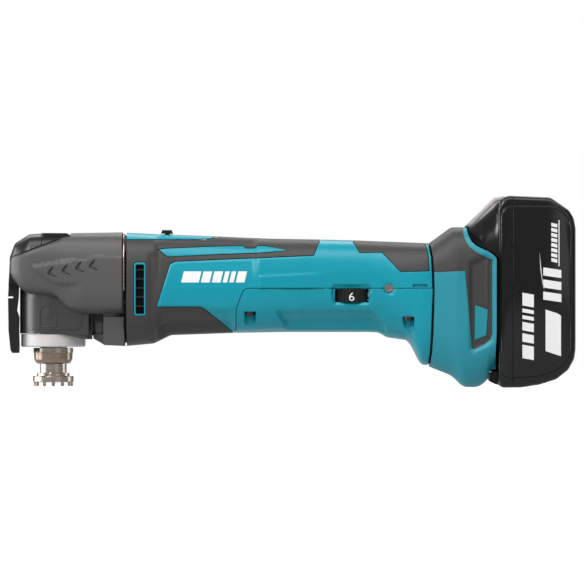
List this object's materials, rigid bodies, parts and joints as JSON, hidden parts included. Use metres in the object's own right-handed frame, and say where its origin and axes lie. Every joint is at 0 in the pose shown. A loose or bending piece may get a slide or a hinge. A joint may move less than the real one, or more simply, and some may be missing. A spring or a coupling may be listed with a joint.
{
  "type": "cordless oscillating multi-tool",
  "caption": "Battery hand tool whose pinned spindle flange swings to and fro, with a quick-clamp lever, slide switch, speed dial and slide-on battery.",
  "frame": {"origin": "centre of the accessory seat on the spindle axis", "axes": "+X along the tool from head to battery, +Z along the spindle axis away from the accessory, +Y across the tool; the picture looks along +Y"},
  "size_m": [0.3394, 0.076, 0.1148],
  "materials": {
    "teal_plastic": "fine moulded texture",
    "grip_rubber": "soft matt overmould",
    "cover_rubber": "matt",
    "black_casting": "black enamel",
    "bare_aluminium": "fine turned",
    "steel": "ground",
    "plated_steel": "satin plated",
    "blued_steel": "black oxide",
    "lever_metal": "black powder coat",
    "battery_plastic": "semi-gloss",
    "button_plastic": "satin",
    "black_plastic": "matt",
    "clear_plastic": "clear",
    "copper": "bare",
    "motor_steel": "zinc plated",
    "magnet": "sintered",
    "carbon": "pressed",
    "seal_rubber": "matt",
    "cell_jacket": "shrink sleeve",
    "circuit_board": "lacquered",
    "wire": "insulation"
  },
  "bodies": {
    "housing": {"gear_housing": "black_casting", "head_cover": "cover_rubber", "lever_pin": "steel", "lamp_housing": "cover_rubber", "lamp_lens": "clear_plastic", "retainer_ring": "bare_aluminium", "retainer_screws": "blued_steel", "dust_seal": "seal_rubber", "lower_bearing": "steel", "upper_bearing": "steel", "front_bearing": "steel", "rear_bearing": "steel", "motor_can": "motor_steel", "magnets": "magnet", "brush_plate": "black_plastic", "brush_boxes": "copper", "carbon_brushes": "carbon", "brush_springs": "steel", "housing_upper": "teal_plastic", "housing_lower": "teal_plastic", "grip_front": "grip_rubber", "grip_rear": "grip_rubber", "lower_screws": "blued_steel", "side_screws": "steel", "switch_plate": "teal_plastic", "vent_grilles": "black_plastic", "neck_ring": "black_plastic", "switch_box": "black_plastic", "controller": "circuit_board", "mount_housing": "teal_plastic", "mount_grip": "grip_rubber", "terminal_block": "black_plastic", "battery_leads": "wire"},
    "spindle_unit": {"spindle": "steel", "spindle_cap": "plated_steel", "spindle_washer": "steel", "swing_arm": "blued_steel", "clamp_spring": "steel"},
    "holder_bolt": {"holder_bolt": "steel"},
    "clamp": {"clamp_rod": "steel"},
    "lever": {"clamp_lever": "lever_metal"},
    "rotor": {"motor_shaft": "steel", "eccentric_bearing": "steel", "counterweight": "blued_steel", "fan": "black_plastic", "armature_core": "motor_steel", "windings": "copper", "commutator": "copper"},
    "switch_slider": {"switch_knob": "black_plastic", "switch_rod": "black_plastic"},
    "dial": {"speed_dial": "black_plastic"},
    "battery": {"battery_top": "battery_plastic", "battery_bottom": "battery_plastic", "battery_cells": "cell_jacket", "battery_board": "circuit_board", "latch_spring": "steel"},
    "latch": {"battery_button": "button_plastic"},
    "gauge": {"gauge_button": "button_plastic"}
  },
  "joints": [
    {"name": "spindle_swing", "type": "hinge", "parent": "housing", "child": "spindle_unit", "pos_m": [0, 0, 0], "axis": [0, 0, 1], "range_deg": [-1.6, 1.6]},
    {"name": "bolt_pull", "type": "slide", "parent": "spindle_unit", "child": "holder_bolt", "axis": [0, 0, -1], "range_m": [0, 0.05]},
    {"name": "clamp_press", "type": "slide", "parent": "spindle_unit", "child": "clamp", "axis": [0, 0, -1], "range_m": [0, 0.0014], "deforming": ["clamp_spring"]},
    {"name": "lever_swing", "type": "hinge", "parent": "housing", "child": "lever", "pos_m": [0.002, 0, 0.082], "axis": [0, 1, 0], "range_deg": [0, 92]},
    {"name": "motor_spin", "type": "hinge", "parent": "housing", "child": "rotor", "pos_m": [0.1, 0, 0.057], "axis": [1, 0, 0], "continuous": true},
    {"name": "switch_slide", "type": "slide", "parent": "housing", "child": "switch_slider", "axis": [-1, 0, 0], "range_m": [0, 0.006]},
    {"name": "dial_turn", "type": "hinge", "parent": "housing", "child": "dial", "pos_m": [0.1788, -0.0174, 0.052], "axis": [0, 0, 1], "range_deg": [-300, 0]},
    {"name": "battery_slide", "type": "slide", "parent": "housing", "child": "battery", "axis": [0, 0, 1], "range_m": [0, 0.1]},
    {"name": "latch_press", "type": "slide", "parent": "battery", "child": "latch", "axis": [1, 0, 0], "range_m": [0, 0.0033], "stiffness_N_per_m": 1500, "springref_m": -0.002},
    {"name": "gauge_press", "type": "slide", "parent": "battery", "child": "gauge", "axis": [0, 0, 1], "range_m": [0, 0.0008], "stiffness_N_per_m": 1500, "springref_m": -0.001}
  ],
  "couplings": [
    {"joint": "clamp_press", "follows": "lever_swing", "m_per_rad": 0.0008719}
  ]
}
